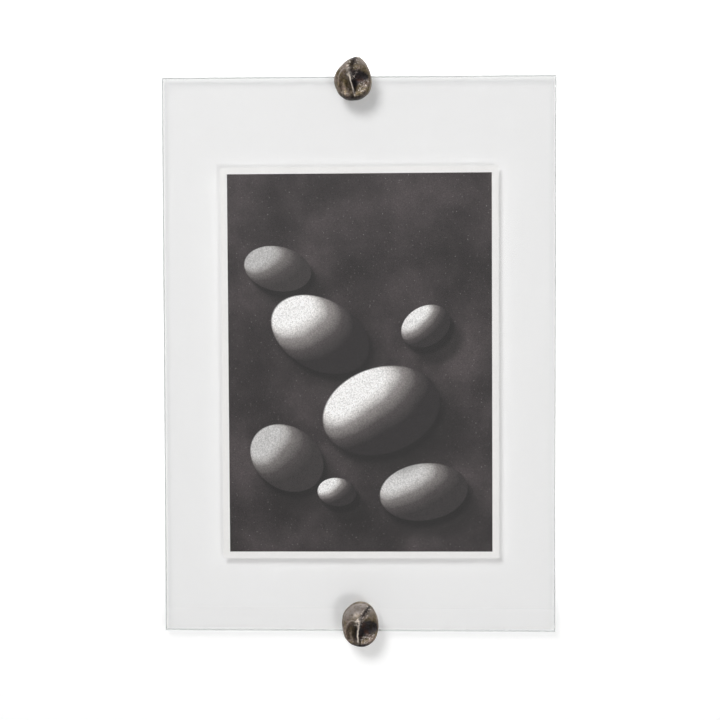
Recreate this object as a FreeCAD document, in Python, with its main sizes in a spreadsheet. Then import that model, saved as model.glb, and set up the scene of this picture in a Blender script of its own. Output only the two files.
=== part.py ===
import FreeCAD, Part
import math
import os

import Sketcher

# A frameless picture holder for the wall. Two clear glass panes hold a print between them. A cast
# knob at the middle of the top edge and one at the middle of the bottom edge screw onto studs in
# the wall and clamp the panes against a standoff nut.
#
# The frame of the model: millimetres, Z up, X to the right seen from the front, and the front
# faces -Y. The wall is the plane Y = 0. The origin lies on the wall, on the axis of the upper stud.

# Driving dimensions. Lengths are in millimetres and angles in degrees.
SIZES = {
    # the glass panes
    "glass_width": 297.0,
    "glass_height": 420.0,
    "glass_thickness": 3.0,
    "glass_arris": 0.5,
    "upper_edge_reach": 2.9,
    "lower_edge_reach": 7.1,
    "lift_play": 3.0,
    "notch_clearance": 0.3,
    # the print
    "print_width": 210.0,
    "print_height": 297.0,
    "print_thickness": 0.3,
    "print_drop": 5.9,
    "print_shift": 0.7,
    "print_turn_degrees": 0.16,
    # the studs and their plugs
    "stud_diameter": 5.0,
    "stud_engagement": 8.5,
    "stud_end_chamfer": 0.5,
    "hex_socket_across": 2.5,
    "hex_socket_depth": 3.0,
    "wood_thread_diameter": 4.0,
    "wood_point_length": 4.0,
    "running_clearance": 0.05,
    "plug_diameter": 6.0,
    "plug_length": 30.0,
    "bolt_past_plug": 4.0,
    "plug_collar_diameter": 7.8,
    "plug_collar_thickness": 0.8,
    "plug_slot_width": 1.0,
    "plug_unsplit_length": 6.0,
    # the standoff nut
    "nut_diameter": 16.0,
    "nut_thickness": 4.0,
    "nut_edge_chamfer": 0.4,
    "nut_recess_clearance": 0.4,
    "nut_groove_width": 1.2,
    "nut_groove_depth": 0.5,
    # the soft washers and the sleeve
    "washer_diameter": 15.0,
    "washer_thickness": 1.0,
    "washer_clearance": 0.1,
    "sleeve_diameter": 6.6,
    "sleeve_nip": 0.3,
    # the knobs
    "knob_depth": 21.0,
    "knob_hole_relief": 1.5,
    "upper_knob_width": 28.0,
    "upper_knob_height": 32.2,
    "upper_knob_shift": -3.8,
    "lower_knob_width": 27.6,
    "lower_knob_height": 33.9,
    "lower_knob_shift": 0.8,
    # how far a cutting solid runs past the face that it cuts
    "overrun": 1.0,
}

# The outline of each knob at its widest, as seen from the front, counterclockwise from the top.
# Each pair is across and up, in shares of half the knob's width and half its height.
UPPER_OUTLINE_SHARES = (
    (0.23, 1.00), (-0.25, 0.84), (-0.63, 0.56), (-0.90, 0.26), (-1.00, -0.04), (-0.89, -0.38),
    (-0.68, -0.70), (-0.36, -0.93), (0.01, -1.00), (0.42, -0.91), (0.81, -0.66), (0.97, -0.43),
    (1.00, -0.06), (0.87, 0.36), (0.60, 0.79),
)
LOWER_OUTLINE_SHARES = (
    (0.04, 1.00), (-0.29, 0.96), (-0.62, 0.78), (-0.89, 0.51), (-1.00, 0.19), (-0.97, -0.17),
    (-0.78, -0.53), (-0.45, -0.84), (-0.07, -1.00), (0.26, -0.99), (0.64, -0.80), (0.89, -0.50),
    (1.00, -0.12), (0.95, 0.28), (0.75, 0.64), (0.42, 0.91),
)

# The levels of a knob, from its flat seat to its crest. Each row is the level's height as a share
# of the knob's depth, its size as a share of the outline, and how far its middle has moved towards
# the knob's crest as a share of the way there.
KNOB_LEVEL_SHARES = (
    (0.00, 0.84, 0.00), (0.09, 0.94, 0.00), (0.24, 1.00, 0.00), (0.42, 0.99, 0.00),
    (0.58, 0.93, 0.06), (0.73, 0.82, 0.20), (0.86, 0.64, 0.45), (0.95, 0.40, 0.80),
    (1.00, 0.16, 1.00),
)
UPPER_CREST_SHARES = (-0.20, 0.36)
LOWER_CREST_SHARES = (-0.14, 0.26)

# The two finger dents of each knob. Each row is the dent's middle across and up, its half width
# and half height, all in shares of the knob's half width and half height, then the height of its
# middle and its half depth in shares of the knob's depth.
UPPER_DENT_SHARES = (
    (-0.50, -0.28, 0.58, 0.66, 1.06, 0.45),
    (0.46, -0.22, 0.62, 0.70, 1.06, 0.48),
)
LOWER_DENT_SHARES = (
    (-0.53, -0.28, 0.56, 0.66, 1.06, 0.45),
    (0.40, -0.26, 0.60, 0.68, 1.06, 0.48),
)
UPPER_DENT_TILT_DEGREES = 14.0
LOWER_DENT_TILT_DEGREES = 3.0

PARTS_FOLDER = "parts"


class Length:
    """A number together with the text that binds it to the sheet of sizes."""

    def __init__(self, value, text):
        self.value = value
        self.text = text

    def __add__(self, other):
        return Length(self.value + as_length(other).value, f"({self.text} + {as_length(other).text})")

    def __sub__(self, other):
        return Length(self.value - as_length(other).value, f"({self.text} - {as_length(other).text})")

    def __mul__(self, other):
        return Length(self.value * as_length(other).value, f"({self.text} * {as_length(other).text})")

    def __truediv__(self, other):
        return Length(self.value / as_length(other).value, f"({self.text} / {as_length(other).text})")

    def __neg__(self):
        return Length(-self.value, f"(-{self.text})")


def as_length(given):
    """A plain number as a Length, and a Length as it is."""
    if isinstance(given, Length):
        return given
    return Length(float(given), repr(float(given)))


def write_sheet(doc):
    """The sheet of sizes: the name of each size beside its cell."""
    sheet = doc.addObject("Spreadsheet::Sheet", "sizes")
    for row, (name, value) in enumerate(SIZES.items(), start=1):
        sheet.set(f"A{row}", name)
        sheet.set(f"B{row}", str(value))
        sheet.setAlias(f"B{row}", name)
    doc.recompute()
    return sheet


def sizes_of(sheet):
    """Every size as the sheet holds it, as a Length bound to its cell."""
    return {name: Length(float(sheet.get(name)), f"sizes.{name}") for name in SIZES}


def plane_of(body, role):
    """One of the body's own origin planes."""
    return next(feature for feature in body.Origin.OriginFeatures if feature.Role == role)


def new_body(doc, label):
    body = doc.addObject("PartDesign::Body", label)
    body.Label = label
    return body


def new_sketch(body, name, role="XZ_Plane"):
    sketch = body.newObject("Sketcher::SketchObject", name)
    sketch.AttachmentSupport = [(plane_of(body, role), "")]
    sketch.MapMode = "FlatFace"
    return sketch


def bind(item, path, length):
    """Bind one property of an object to the sheet."""
    item.setExpression(path, as_length(length).text)


def hold(sketch, constraint, name, length):
    """Add a dimension to a sketch and bind it to the sheet."""
    index = sketch.addConstraint(constraint)
    sketch.renameConstraint(index, name)
    bind(sketch, f"Constraints.{name}", length)


def hold_point(sketch, geometry, end, name, across, up):
    """Place one point of a sketch by its distances from the origin."""
    for axis, length in (("X", across), ("Y", up)):
        if as_length(length).value == 0:
            along = -2 if axis == "X" else -1
            sketch.addConstraint(Sketcher.Constraint("PointOnObject", geometry, end, along))
        else:
            constraint = Sketcher.Constraint(
                f"Distance{axis}", -1, 1, geometry, end, as_length(length).value
            )
            hold(sketch, constraint, f"{name}_{axis}", length)


def draw_outline(sketch, points):
    """A closed outline of straight lines through points given as across and up."""
    places = [FreeCAD.Vector(as_length(x).value, as_length(y).value, 0) for x, y in points]
    for index, start in enumerate(places):
        end = places[(index + 1) % len(places)]
        sketch.addGeometry(Part.LineSegment(start, end), False)
    for index, (x, y) in enumerate(points):
        previous = (index - 1) % len(points)
        sketch.addConstraint(Sketcher.Constraint("Coincident", previous, 2, index, 1))
        hold_point(sketch, index, 1, f"corner{index}", x, y)


def draw_circle(sketch, name, diameter):
    """A circle about the sketch's origin."""
    centre = FreeCAD.Vector(0, 0, 0)
    up = FreeCAD.Vector(0, 0, 1)
    index = sketch.addGeometry(Part.Circle(centre, up, diameter.value / 2), False)
    sketch.addConstraint(Sketcher.Constraint("Coincident", index, 3, -1, 1))
    hold(sketch, Sketcher.Constraint("Diameter", index, diameter.value), name, diameter)


def pad(body, sketch, name, length):
    """Grow a sketch towards the front."""
    feature = body.newObject("PartDesign::Pad", name)
    feature.Profile = sketch
    feature.Length = length.value
    bind(feature, "Length", length)
    body.Tip = feature
    return feature


def pocket(doc, body, sketch, name, length=None, symmetric=False):
    """Cut a sketch towards the front, all through where no length is given."""
    doc.recompute()
    before = body.Shape.Volume
    feature = body.newObject("PartDesign::Pocket", name)
    feature.Profile = sketch
    if length is None:
        feature.Type = "ThroughAll"
    else:
        feature.Length = length.value
        bind(feature, "Length", length)
    if symmetric:
        feature.Midplane = True
    else:
        feature.Reversed = True
    body.Tip = feature
    doc.recompute()
    if not body.Shape.Volume < before:
        raise RuntimeError(f"{body.Label}: {name} cuts nothing")
    return feature


def revolve(body, sketch, name):
    """Turn a sketch of the XY plane a full turn about the Y axis."""
    feature = body.newObject("PartDesign::Revolution", name)
    feature.Profile = sketch
    feature.ReferenceAxis = (sketch, ["V_Axis"])
    feature.Angle = 360
    body.Tip = feature
    return feature


def place(item, y, z):
    """Put a finished piece at its place in the frame."""
    bind(item, "Placement.Base.y", y)
    bind(item, "Placement.Base.z", z)


def ring(doc, label, outer, inner, length, y, z):
    """A flat ring about a stud: a washer, or a sleeve where it is long."""
    body = new_body(doc, label)
    sketch = new_sketch(body, f"{label}_section")
    draw_circle(sketch, "outer", outer)
    draw_circle(sketch, "inner", inner)
    pad(body, sketch, f"{label}_length", length)
    place(body, y, z)
    return body


def notch_sketch(body, name, half_width, centre, edge):
    """A notch that opens at an edge of the glass and ends in a half round about its centre."""
    sketch = new_sketch(body, name)
    root = -1 if edge.value > centre.value else 1
    left = FreeCAD.Vector(-half_width.value, centre.value, 0)
    right = FreeCAD.Vector(half_width.value, centre.value, 0)
    left_out = FreeCAD.Vector(-half_width.value, edge.value, 0)
    right_out = FreeCAD.Vector(half_width.value, edge.value, 0)
    deepest = FreeCAD.Vector(0, centre.value + root * half_width.value, 0)
    sketch.addGeometry(Part.LineSegment(left_out, left), False)
    arc = Part.Arc(left, deepest, right)
    sketch.addGeometry(arc, False)
    sketch.addGeometry(Part.LineSegment(right, right_out), False)
    sketch.addGeometry(Part.LineSegment(right_out, left_out), False)
    # the arc runs counterclockwise, so its first point is on the left under it and right over it
    first, last = (1, 2) if root < 0 else (2, 1)
    sketch.addConstraint(Sketcher.Constraint("Coincident", 0, 2, 1, first))
    sketch.addConstraint(Sketcher.Constraint("Coincident", 1, last, 2, 1))
    sketch.addConstraint(Sketcher.Constraint("Coincident", 2, 2, 3, 1))
    sketch.addConstraint(Sketcher.Constraint("Coincident", 3, 2, 0, 1))
    hold_point(sketch, 0, 1, "left_out", -half_width, edge)
    hold_point(sketch, 0, 2, "left_root", -half_width, centre)
    hold_point(sketch, 2, 1, "right_root", half_width, centre)
    hold_point(sketch, 2, 2, "right_out", half_width, edge)
    height = Sketcher.Constraint("DistanceY", -1, 1, 1, 3, centre.value)
    hold(sketch, height, "root_centre", centre)
    return sketch


def glass_pane(doc, label, size, stack, y):
    """A clear pane with a notch for each stud and a fine arris on all its edges."""
    body = new_body(doc, label)
    half_width = size["glass_width"] / 2
    bottom = stack["glass_bottom"]
    top = stack["glass_top"]
    outline = new_sketch(body, f"{label}_outline")
    draw_outline(outline, [
        (-half_width, bottom), (half_width, bottom), (half_width, top), (-half_width, top),
    ])
    pad(body, outline, f"{label}_thickness", size["glass_thickness"])
    half_notch = stack["notch_width"] / 2
    lower_root = -stack["stud_spacing"]
    upper_root = -size["lift_play"]
    below = bottom - size["overrun"]
    above = top + size["overrun"]
    lower = notch_sketch(body, f"{label}_lower_notch", half_notch, lower_root, below)
    pocket(doc, body, lower, f"{label}_lower_notch_cut")
    upper = notch_sketch(body, f"{label}_upper_notch", half_notch, upper_root, above)
    last = pocket(doc, body, upper, f"{label}_upper_notch_cut")
    faces = [
        f"Face{index}"
        for index, face in enumerate(last.Shape.Faces, start=1)
        if abs(face.normalAt(0, 0).y) > math.cos(math.radians(1))
    ]
    arris = body.newObject("PartDesign::Chamfer", f"{label}_arris")
    arris.Base = (last, faces)
    arris.Size = size["glass_arris"].value
    bind(arris, "Size", size["glass_arris"])
    body.Tip = arris
    place(body, y, Length(0.0, "0"))
    return body


def photo_print(doc, label, size, stack, y):
    """The sheet between the panes, a little below their middle and a little out of square."""
    body = new_body(doc, label)
    half_width = size["print_width"] / 2
    half_height = size["print_height"] / 2
    outline = new_sketch(body, f"{label}_outline")
    draw_outline(outline, [
        (-half_width, -half_height), (half_width, -half_height),
        (half_width, half_height), (-half_width, half_height),
    ])
    pad(body, outline, f"{label}_thickness", size["print_thickness"])
    turn = size["print_turn_degrees"].value
    body.Placement = FreeCAD.Placement(
        FreeCAD.Vector(0, 0, 0), FreeCAD.Rotation(FreeCAD.Vector(0, -1, 0), turn)
    )
    bind(body, "Placement.Rotation.Angle", size["print_turn_degrees"])
    middle = (stack["glass_top"] + stack["glass_bottom"]) / 2
    bind(body, "Placement.Base.x", size["print_shift"])
    place(body, y, middle - size["print_drop"])
    return body


def hanger_bolt(doc, label, size, stack, z):
    """The stud: a machine thread to the front, and a wood thread through the plug with a point."""
    body = new_body(doc, label)
    machine = size["stud_diameter"] / 2
    wood = size["wood_thread_diameter"] / 2
    chamfer = size["stud_end_chamfer"]
    front = -stack["stud_front"]
    tip = size["plug_length"] + size["bolt_past_plug"]
    wood_end = tip - size["wood_point_length"]
    profile = new_sketch(body, f"{label}_profile", "XY_Plane")
    draw_outline(profile, [
        (0, front), (machine - chamfer, front), (machine, front + chamfer),
        (machine, -stack["plug_collar_front"]), (wood, -stack["plug_collar_front"]),
        (wood, wood_end), (0, tip),
    ])
    revolve(body, profile, f"{label}_turned")
    socket = new_sketch(body, f"{label}_socket")
    corner = size["hex_socket_across"] / 2 / math.cos(math.pi / 6)
    draw_outline(socket, [
        (corner * math.cos(turn), corner * math.sin(turn))
        for turn in (math.pi / 3 * side + math.pi / 12 for side in range(6))
    ])
    socket.setExpression("AttachmentOffset.Base.z", stack["stud_front"].text)
    doc.recompute()
    before = body.Shape.Volume
    cut = body.newObject("PartDesign::Pocket", f"{label}_socket_cut")
    cut.Profile = socket
    cut.Length = size["hex_socket_depth"].value
    bind(cut, "Length", size["hex_socket_depth"])
    body.Tip = cut
    doc.recompute()
    if not body.Shape.Volume < before:
        raise RuntimeError(f"{label}: the socket cuts nothing")
    place(body, Length(0.0, "0"), z)
    return body


def wall_plug(doc, label, size, stack, z):
    """The plug in the wall: a split tube with a thin collar that stops it at the wall's face."""
    body = new_body(doc, label)
    outer = size["plug_diameter"] / 2
    collar = size["plug_collar_diameter"] / 2
    bore = size["wood_thread_diameter"] / 2 + size["running_clearance"]
    front = -size["plug_collar_thickness"]
    back = size["plug_length"]
    profile = new_sketch(body, f"{label}_profile", "XY_Plane")
    draw_outline(profile, [
        (bore, front), (collar, front), (collar, 0), (outer, 0), (outer, back), (bore, back),
    ])
    revolve(body, profile, f"{label}_turned")
    slot = new_sketch(body, f"{label}_slot", "XY_Plane")
    half_slot = size["plug_slot_width"] / 2
    draw_outline(slot, [
        (-half_slot, size["plug_unsplit_length"]), (half_slot, size["plug_unsplit_length"]),
        (half_slot, back + size["overrun"]), (-half_slot, back + size["overrun"]),
    ])
    pocket(doc, body, slot, f"{label}_slot_cut", size["plug_diameter"] * 2, symmetric=True)
    place(body, Length(0.0, "0"), z)
    return body


def standoff_nut(doc, label, size, stack, z):
    """The round nut that holds the glass off the wall, hollowed behind to clear the plug."""
    body = new_body(doc, label)
    outer = size["nut_diameter"] / 2
    chamfer = size["nut_edge_chamfer"]
    bore = size["stud_diameter"] / 2 + size["running_clearance"]
    recess = size["plug_collar_diameter"] / 2 + size["nut_recess_clearance"]
    recess_front = -(size["plug_collar_thickness"] + size["nut_recess_clearance"])
    front = -size["nut_thickness"]
    groove = outer - size["nut_groove_depth"]
    groove_back = (front + size["nut_groove_width"]) / 2
    groove_front = (front - size["nut_groove_width"]) / 2
    profile = new_sketch(body, f"{label}_profile", "XY_Plane")
    draw_outline(profile, [
        (recess, 0), (outer - chamfer, 0), (outer, -chamfer),
        (outer, groove_back), (groove, groove_back), (groove, groove_front),
        (outer, groove_front), (outer, front + chamfer), (outer - chamfer, front),
        (bore, front), (bore, recess_front), (recess, recess_front),
    ])
    revolve(body, profile, f"{label}_turned")
    place(body, Length(0.0, "0"), z)
    return body


def knob_blank(doc, label, outline_shares, crest_shares, half_width, half_height, depth, shift):
    """The cast lump before its dents: round outlines joined level by level, flat at its seat."""
    levels = []
    for height_share, size_share, crest_share in KNOB_LEVEL_SHARES:
        middle_x = shift + half_width * crest_shares[0] * crest_share
        middle_z = half_height * crest_shares[1] * crest_share
        points = [
            FreeCAD.Vector(
                middle_x + half_width * size_share * across_share,
                -depth * height_share,
                middle_z + half_height * size_share * up_share,
            )
            for across_share, up_share in outline_shares
        ]
        curve = Part.BSplineCurve()
        curve.interpolate(Points=points, PeriodicFlag=True)
        levels.append(Part.Wire([curve.toShape()]))
    blank = doc.addObject("Part::Feature", f"{label}_blank")
    blank.Shape = Part.makeLoft(levels, True, False)
    return blank


def knob_dent(doc, name, shares, tilt, half_width, half_height, depth, shift):
    """The round-ended hollow that one finger presses into the lump."""
    across, up, wide, high, level, deep = shares
    dent = doc.addObject("Part::Ellipsoid", name)
    dent.Angle1 = -90
    dent.Angle2 = 90
    dent.Angle3 = 360
    bind(dent, "Radius1", half_height * high)
    bind(dent, "Radius2", half_width * wide)
    bind(dent, "Radius3", depth * deep)
    dent.Placement = FreeCAD.Placement(
        FreeCAD.Vector(0, 0, 0), FreeCAD.Rotation(FreeCAD.Vector(0, -1, 0), tilt)
    )
    bind(dent, "Placement.Base.x", shift + half_width * across)
    bind(dent, "Placement.Base.y", -depth * level)
    bind(dent, "Placement.Base.z", half_height * up)
    return dent


def knob(doc, label, size, stack, outline_shares, crest_shares, dent_shares, tilt, y, z):
    """A cast knob: the lump, less its two dents and the blind hole for the stud."""
    which = label.split("_")[0]
    half_width = size[f"{which}_knob_width"] / 2
    half_height = size[f"{which}_knob_height"] / 2
    shift = size[f"{which}_knob_shift"]
    depth = size["knob_depth"]
    last = knob_blank(
        doc, label, outline_shares, crest_shares,
        half_width.value, half_height.value, depth.value, shift.value,
    )
    for side, shares in zip(("left", "right"), dent_shares):
        cut = doc.addObject("Part::Cut", f"{label}_less_{side}_dent")
        cut.Base = last
        cut.Tool = knob_dent(
            doc, f"{label}_{side}_dent", shares, tilt, half_width, half_height, depth, shift
        )
        last = cut
    hole = doc.addObject("Part::Cylinder", f"{label}_hole")
    bind(hole, "Radius", size["stud_diameter"] / 2 + size["running_clearance"])
    bind(hole, "Height", stack["knob_hole_depth"] + size["overrun"])
    hole.Placement = FreeCAD.Placement(
        FreeCAD.Vector(0, 0, 0), FreeCAD.Rotation(FreeCAD.Vector(1, 0, 0), 90)
    )
    bind(hole, "Placement.Base.y", size["overrun"])
    finished = doc.addObject("Part::Cut", label)
    finished.Label = label
    finished.Base = last
    finished.Tool = hole
    place(finished, y, z)
    return finished


def stack_of(size):
    """Where each layer of the stack begins, counted forward from the wall, and what follows."""
    nut_front = size["nut_thickness"]
    back_glass = nut_front + size["washer_thickness"]
    print_back = back_glass + size["glass_thickness"]
    front_glass = print_back + size["print_thickness"]
    front_washer = front_glass + size["glass_thickness"]
    knob_seat = front_washer + size["washer_thickness"]
    edge_reaches = size["upper_edge_reach"] + size["lower_edge_reach"]
    return {
        "nut_front": nut_front,
        "back_glass": back_glass,
        "photo_print": print_back,
        "front_glass": front_glass,
        "front_washer": front_washer,
        "knob_seat": knob_seat,
        "stud_spacing": size["glass_height"] - edge_reaches,
        "stud_front": knob_seat + size["stud_engagement"],
        "knob_hole_depth": size["stud_engagement"] + size["knob_hole_relief"],
        "plug_collar_front": size["plug_collar_thickness"],
        "glass_bottom": size["upper_edge_reach"] - size["glass_height"],
        "glass_top": size["upper_edge_reach"],
        "notch_width": size["sleeve_diameter"] + size["notch_clearance"] * 2,
    }


def clip(doc, which, size, stack, z, knob_form):
    """All the pieces on one stud, from the wall to the knob."""
    stud_bore = size["stud_diameter"] + size["running_clearance"] * 2
    washer_bore = size["sleeve_diameter"] + size["washer_clearance"] * 2
    sleeve_length = stack["knob_seat"] - stack["nut_front"] - size["sleeve_nip"]
    washer = (size["washer_diameter"], washer_bore, size["washer_thickness"])
    return [
        wall_plug(doc, f"{which}_wall_plug", size, stack, z),
        hanger_bolt(doc, f"{which}_hanger_bolt", size, stack, z),
        standoff_nut(doc, f"{which}_standoff_nut", size, stack, z),
        ring(doc, f"{which}_rear_washer", *washer, -stack["nut_front"], z),
        ring(
            doc, f"{which}_sleeve", size["sleeve_diameter"], stud_bore, sleeve_length,
            -stack["nut_front"], z,
        ),
        ring(doc, f"{which}_front_washer", *washer, -stack["front_washer"], z),
        knob(doc, f"{which}_knob", size, stack, *knob_form, -stack["knob_seat"], z),
    ]


def check(doc, pieces):
    """Stop before anything is written if a feature failed or a piece isn't a sound solid."""
    for item in doc.Objects:
        if "Invalid" in item.State or "Error" in item.State:
            raise RuntimeError(f"{item.Label} failed: {item.State}")
    for piece in pieces:
        shape = piece.Shape
        if shape.isNull() or not shape.isValid() or len(shape.Solids) != 1:
            raise RuntimeError(f"{piece.Label} isn't one sound solid")


def main():
    doc = FreeCAD.newDocument("clip_frame")
    size = sizes_of(write_sheet(doc))
    stack = stack_of(size)
    upper_form = (
        UPPER_OUTLINE_SHARES, UPPER_CREST_SHARES, UPPER_DENT_SHARES, UPPER_DENT_TILT_DEGREES,
    )
    lower_form = (
        LOWER_OUTLINE_SHARES, LOWER_CREST_SHARES, LOWER_DENT_SHARES, LOWER_DENT_TILT_DEGREES,
    )
    pieces = [
        glass_pane(doc, "back_glass", size, stack, -stack["back_glass"]),
        photo_print(doc, "photo_print", size, stack, -stack["photo_print"]),
        glass_pane(doc, "front_glass", size, stack, -stack["front_glass"]),
    ]
    pieces += clip(doc, "upper", size, stack, Length(0.0, "0"), upper_form)
    pieces += clip(doc, "lower", size, stack, -stack["stud_spacing"], lower_form)
    doc.recompute()
    check(doc, pieces)
    os.makedirs(PARTS_FOLDER, exist_ok=True)
    for piece in pieces:
        piece.Shape.exportStep(os.path.join(PARTS_FOLDER, f"{piece.Label}.step"))
        print(f"{piece.Label}: volume {piece.Shape.Volume:.1f}")


main()
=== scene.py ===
import math

import bmesh
import bpy
import numpy as np
from mathutils import Matrix, Vector, noise


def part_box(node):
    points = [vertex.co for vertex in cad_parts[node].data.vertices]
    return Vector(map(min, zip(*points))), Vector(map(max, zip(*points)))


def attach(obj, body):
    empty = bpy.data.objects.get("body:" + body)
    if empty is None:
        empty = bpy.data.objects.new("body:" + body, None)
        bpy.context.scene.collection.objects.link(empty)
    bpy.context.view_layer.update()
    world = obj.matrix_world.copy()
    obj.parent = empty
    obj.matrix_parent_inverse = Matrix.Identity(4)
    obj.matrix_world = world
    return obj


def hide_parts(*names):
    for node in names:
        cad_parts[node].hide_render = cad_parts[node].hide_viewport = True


# A frameless holder for one print, seen on a white wall: two clear panes, the print between them,
# and a dark cast bronze knob at the middle of the top and of the bottom edge. Metres, Z up, the
# front faces -Y, the wall is the plane Y = 0 and the origin is on the upper stud's axis.

MM = 0.001

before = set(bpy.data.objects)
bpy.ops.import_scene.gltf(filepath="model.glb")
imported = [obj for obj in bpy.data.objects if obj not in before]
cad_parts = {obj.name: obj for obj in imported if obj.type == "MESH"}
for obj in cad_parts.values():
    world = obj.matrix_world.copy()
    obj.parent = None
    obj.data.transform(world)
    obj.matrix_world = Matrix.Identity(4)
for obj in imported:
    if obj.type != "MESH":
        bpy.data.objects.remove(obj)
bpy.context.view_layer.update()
SIDES = ("upper", "lower")
STUD_Z = {which: sum((corner.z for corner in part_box(f"{which}_sleeve"))) / 2 for which in SIDES}


# Materials

def linear(hex_colour, alpha=1.0):
    """An sRGB hex colour as the linear colour that Blender's sockets hold."""
    channels = [int(hex_colour[place:place + 2], 16) / 255 for place in (1, 3, 5)]
    bright = [c / 12.92 if c <= 0.04045 else ((c + 0.055) / 1.055) ** 2.4 for c in channels]
    return (*bright, alpha)


def add(tree, kind, inputs=None, stops=None, **settings):
    """Adds a node with its settings, its ramp's stops and its inputs: values or sockets to link."""
    made = tree.nodes.new(f"ShaderNode{kind}")
    for name, value in settings.items():
        setattr(made, name, value)
    if stops:
        while len(made.color_ramp.elements) < len(stops):
            made.color_ramp.elements.new(0.5)
        for element, (place, colour) in zip(made.color_ramp.elements, stops):
            element.position = place
            element.color = linear(colour)
    for name, value in (inputs or {}).items():
        if isinstance(value, bpy.types.NodeSocket):
            tree.links.new(value, made.inputs[name])
        else:
            made.inputs[name].default_value = value
    return made


def new_material(name):
    """An empty node material and its output node."""
    material = bpy.data.materials.new(name)
    material.use_nodes = True
    tree = material.node_tree
    tree.nodes.clear()
    return material, tree, tree.nodes.new("ShaderNodeOutputMaterial")


def float_glass(name, node):
    """Clear float glass, cut and arrissed by hand. It is colourless through its faces. Its ground
    edges are matt and pale grey, because the grinder's marks scatter the light there."""
    low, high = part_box(node)
    middle = (low + high) / 2
    half = (high - low) / 2
    material, tree, output = new_material(name)
    place = add(tree, "TexCoord").outputs["Object"]
    split = add(tree, "SeparateXYZ", {"Vector": place}).outputs
    reach = []
    for axis, centre, size in (("X", middle.x, half.x), ("Z", middle.z, half.z)):
        offset = add(tree, "Math", {0: split[axis], 1: centre}, operation="SUBTRACT").outputs[0]
        distance = add(tree, "Math", {0: offset}, operation="ABSOLUTE").outputs[0]
        # it reaches 1 on the arris and the edge face, which are the outer 0.5 mm
        reach.append(add(tree, "MapRange", {
            "Value": distance, "From Min": size - 0.7 * MM, "From Max": size - 0.4 * MM,
        }).outputs[0])
    edge = add(tree, "Math", {0: reach[0], 1: reach[1]}, operation="MAXIMUM").outputs[0]
    # the grinder leaves fine marks along the edges, about 0.3 mm apart
    marks = add(tree, "TexNoise", {
        "Vector": place, "Scale": 1 / (0.6 * MM), "Detail": 3.0,
    }).outputs[0]
    ground = add(tree, "Math", {0: marks, 1: edge}, operation="MULTIPLY").outputs[0]
    rough = add(tree, "MapRange", {"Value": ground, "To Max": 0.3}).outputs[0]
    tint = add(tree, "Mix", {
        0: edge, 6: linear("#fefefe"), 7: linear("#e6e9e8"),
    }, data_type="RGBA").outputs[2]
    shade = add(tree, "Mix", {
        0: edge, 6: linear("#fcfcfc"), 7: linear("#dcdedf"),
    }, data_type="RGBA").outputs[2]
    glass = add(tree, "BsdfPrincipled", {
        "Base Color": tint, "Roughness": rough, "IOR": 1.52, "Transmission Weight": 1.0,
    })
    ground_face = add(tree, "BsdfDiffuse", {"Color": linear("#e8ebea")})
    hazed = add(tree, "Math", {0: edge, 1: 0.75}, operation="MULTIPLY").outputs[0]
    pane = add(tree, "MixShader", {0: hazed, 1: glass.outputs[0], 2: ground_face.outputs[0]})
    let_through = add(tree, "BsdfTransparent", {"Color": shade})
    # light that reaches or leaves a matt surface behind the pane passes straight through it
    path = add(tree, "LightPath").outputs
    bounced = add(tree, "MixShader", {
        0: path["Is Diffuse Ray"], 1: pane.outputs[0], 2: let_through.outputs[0],
    })
    both = add(tree, "MixShader", {
        0: path["Is Shadow Ray"], 1: bounced.outputs[0], 2: let_through.outputs[0],
    })
    tree.links.new(both.outputs[0], output.inputs["Surface"])
    return material


def clear_soft(name, tint, index, rough, grain):
    """A clear moulded soft plastic: milky where it is thick, with a fine moulded grain."""
    material, tree, output = new_material(name)
    place = add(tree, "TexCoord").outputs["Object"]
    cloud = add(tree, "TexNoise", {
        "Vector": place, "Scale": 1 / (4 * MM), "Detail": 2.0,
    }).outputs[0]
    colour = add(tree, "Mix", {
        0: cloud, 6: linear(tint), 7: linear("#f4f6f5"),
    }, data_type="RGBA").outputs[2]
    dust = add(tree, "TexNoise", {"Vector": place, "Scale": 1 / grain, "Detail": 4.0}).outputs[0]
    spread = add(tree, "MapRange", {
        "Value": dust, "To Min": rough * 0.6, "To Max": rough * 1.4,
    }).outputs[0]
    bump = add(tree, "Bump", {"Height": dust, "Strength": 0.15, "Distance": 0.05 * MM}).outputs[0]
    body = add(tree, "BsdfPrincipled", {
        "Base Color": colour, "Roughness": spread, "IOR": index, "Transmission Weight": 0.85,
        "Normal": bump,
    })
    tree.links.new(body.outputs[0], output.inputs["Surface"])
    return material


def nickel_plate(name, centre_z):
    """Nickel plate on turned brass: bright and slightly warm, with fine lathe rings on its face."""
    material, tree, output = new_material(name)
    place = add(tree, "TexCoord").outputs["Object"]
    centred = add(tree, "Mapping", {"Vector": place, "Location": (0, 0, -centre_z)}).outputs[0]
    # tool marks 0.2 mm apart, round the stud's axis
    rings = add(tree, "TexWave", {
        "Vector": centred, "Scale": 1 / (0.2 * MM) / (2 * math.pi), "Distortion": 0.6,
        "Detail": 1.0,
    }, wave_type="RINGS", rings_direction="Y").outputs[1]
    cloud = add(tree, "TexNoise", {
        "Vector": place, "Scale": 1 / (3 * MM), "Detail": 3.0,
    }).outputs[0]
    colour = add(tree, "Mix", {
        0: cloud, 6: linear("#a49c8e"), 7: linear("#cbc6bb"),
    }, data_type="RGBA").outputs[2]
    spread = add(tree, "MapRange", {"Value": cloud, "To Min": 0.2, "To Max": 0.36}).outputs[0]
    bump = add(tree, "Bump", {"Height": rings, "Strength": 0.25, "Distance": 0.02 * MM}).outputs[0]
    body = add(tree, "BsdfPrincipled", {
        "Base Color": colour, "Metallic": 1.0, "Roughness": spread, "Normal": bump,
    })
    tree.links.new(body.outputs[0], output.inputs["Surface"])
    return material


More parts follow.
